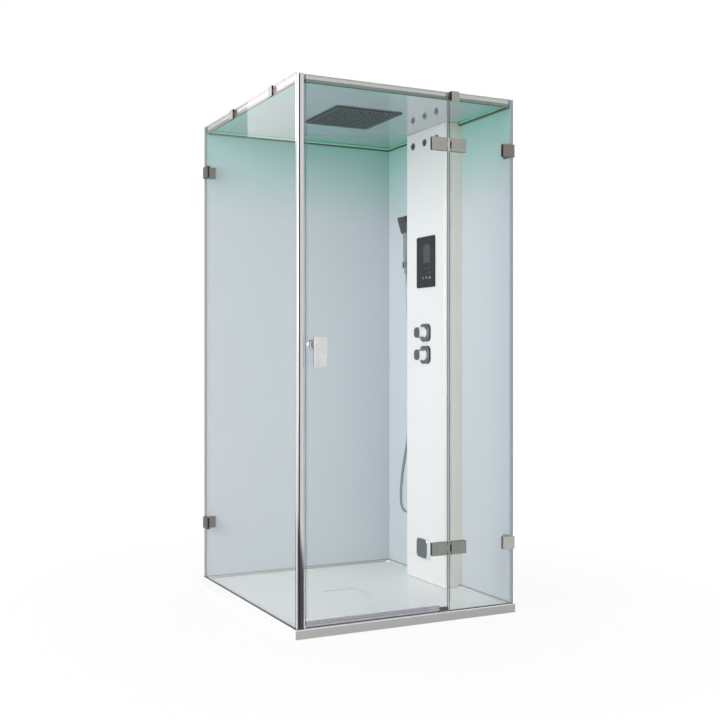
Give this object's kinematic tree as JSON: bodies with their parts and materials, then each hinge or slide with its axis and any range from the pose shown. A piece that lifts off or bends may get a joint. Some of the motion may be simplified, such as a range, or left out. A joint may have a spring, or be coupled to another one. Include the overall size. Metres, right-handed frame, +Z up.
{
  "type": "steam shower cabin",
  "caption": "Square shower cabin: low tray, clear glass front and side, hinged door, roof with rain head, and a white service column with mixer, jets, hand shower and steam outlet.",
  "frame": {"origin": "centre of the tray's underside, on the bathroom floor", "axes": "+Z up, +X to the right seen from the door, the door and fixed front pane on the -Y side, the service column on the +X wall"},
  "size_m": [1, 1.043, 2.127],
  "materials": {
    "stone_resin": "cast mineral resin with a fine matt gel coat",
    "satin_nickel": "satin brushed stainless steel",
    "chrome": "polished chrome plating",
    "stainless_steel": "plain stainless steel",
    "copper_pipe": "nickel plated pipe",
    "brass_casting": "rough cast brass",
    "black_rubber": "matt silicone",
    "clear_seal": "clear soft extruded plastic",
    "grey_plastic": "satin grey moulded plastic",
    "dark_plastic": "dark moulded plastic",
    "clear_glass": "clear toughened glass with polished edges",
    "coated_glass": "glass coated pale grey-blue on its back",
    "anodised_aluminium": "bright anodised aluminium",
    "gloss_white": "gloss white acrylic",
    "gloss_ceiling": "gloss panel lit by the light strips",
    "light_diffuser": "translucent diffuser lit green",
    "rain_plate": "dark satin steel",
    "black_glass": "black back-painted glass",
    "circuit_board": "green lacquered board"
  },
  "bodies": {
    "cabin": {"tray": "stone_resin", "drain_waste": "stainless_steel", "glass_seals": "black_rubber", "left_glass": "clear_glass", "back_panel": "coated_glass", "right_panel": "coated_glass", "front_fixed_glass": "clear_glass", "corner_post": "anodised_aluminium", "post_caps": "grey_plastic", "rear_corner_profile": "anodised_aluminium", "corner_clamps": "satin_nickel", "roof_rails": "anodised_aluminium", "roof_corner_keys": "dark_plastic", "roof_clips": "satin_nickel", "ceiling_panel": "gloss_ceiling", "light_strips": "light_diffuser", "rain_head_box": "stainless_steel", "rain_head_plate": "rain_plate", "rain_riser_pipe": "copper_pipe", "column_shell": "gloss_white", "jet_bezels": "chrome", "jet_manifold": "copper_pipe", "control_case": "dark_plastic", "control_glass": "black_glass", "control_board": "circuit_board", "mixer_body": "brass_casting", "valve_cartridges": "dark_plastic", "valve_plates": "chrome", "inlet_sockets": "brass_casting", "steam_generator": "stainless_steel", "steam_pipe": "stainless_steel", "steam_outlet_cover": "chrome", "handset_holder": "chrome", "hose_elbow": "chrome", "shower_hose": "chrome", "hinge_fixed_leaves": "satin_nickel", "hinge_fixed_clamps": "satin_nickel", "hinge_pins": "stainless_steel", "fixed_strips": "clear_seal"},
    "door": {"door_glass": "clear_glass", "hinge_door_leaves": "satin_nickel", "hinge_door_clamps": "satin_nickel", "hinge_bushes": "dark_plastic", "handle_plate": "satin_nickel", "handle_knob": "chrome", "door_magnet_strip": "clear_seal", "door_sweep": "clear_seal", "sweep_end_block": "grey_plastic"},
    "drain_cover": {"drain_cover": "stone_resin"},
    "diverter": {"diverter_knob": "grey_plastic"},
    "thermostat": {"thermostat_knob": "grey_plastic"},
    "safety_button": {"safety_button": "dark_plastic"},
    "hand_shower": {"hand_shower_head": "dark_plastic", "hand_shower_handle": "grey_plastic", "hand_spray_plate": "dark_plastic"},
    "jet_front": {"jet_ball_front": "chrome"},
    "jet_middle": {"jet_ball_middle": "chrome"},
    "jet_rear": {"jet_ball_rear": "chrome"}
  },
  "joints": [
    {"name": "door_hinge", "type": "hinge", "parent": "cabin", "child": "door", "pos_m": [0.18, -0.489, 0], "axis": [0, 0, 1], "range_deg": [0, 90]},
    {"name": "diverter_turn", "type": "hinge", "parent": "cabin", "child": "diverter", "pos_m": [0.36, 0.018, 1.155], "axis": [1, 0, 0], "range_deg": [-90, 90]},
    {"name": "thermostat_turn", "type": "hinge", "parent": "cabin", "child": "thermostat", "pos_m": [0.36, 0.018, 1.055], "axis": [1, 0, 0], "range_deg": [-135, 45]},
    {"name": "safety_button_press", "type": "slide", "parent": "thermostat", "child": "safety_button", "axis": [0, 0, -1], "range_m": [0, 0.0025], "stiffness_N_per_m": 400},
    {"name": "handset_lift", "type": "slide", "parent": "cabin", "child": "hand_shower", "axis": [0, 0, 1], "range_m": [0, 0.15]},
    {"name": "drain_cover_lift", "type": "slide", "parent": "cabin", "child": "drain_cover", "axis": [0, 0, 1], "range_m": [0, 0.06]},
    {"name": "jet_front_tilt", "type": "hinge", "parent": "cabin", "child": "jet_front", "pos_m": [0.402, -0.072, 2.017], "axis": [0, 1, 0], "range_deg": [-12, 12]},
    {"name": "jet_middle_tilt", "type": "hinge", "parent": "cabin", "child": "jet_middle", "pos_m": [0.402, 0.025, 2.017], "axis": [0, 1, 0], "range_deg": [-12, 12]},
    {"name": "jet_rear_tilt", "type": "hinge", "parent": "cabin", "child": "jet_rear", "pos_m": [0.402, 0.122, 2.017], "axis": [0, 1, 0], "range_deg": [-12, 12]}
  ]
}
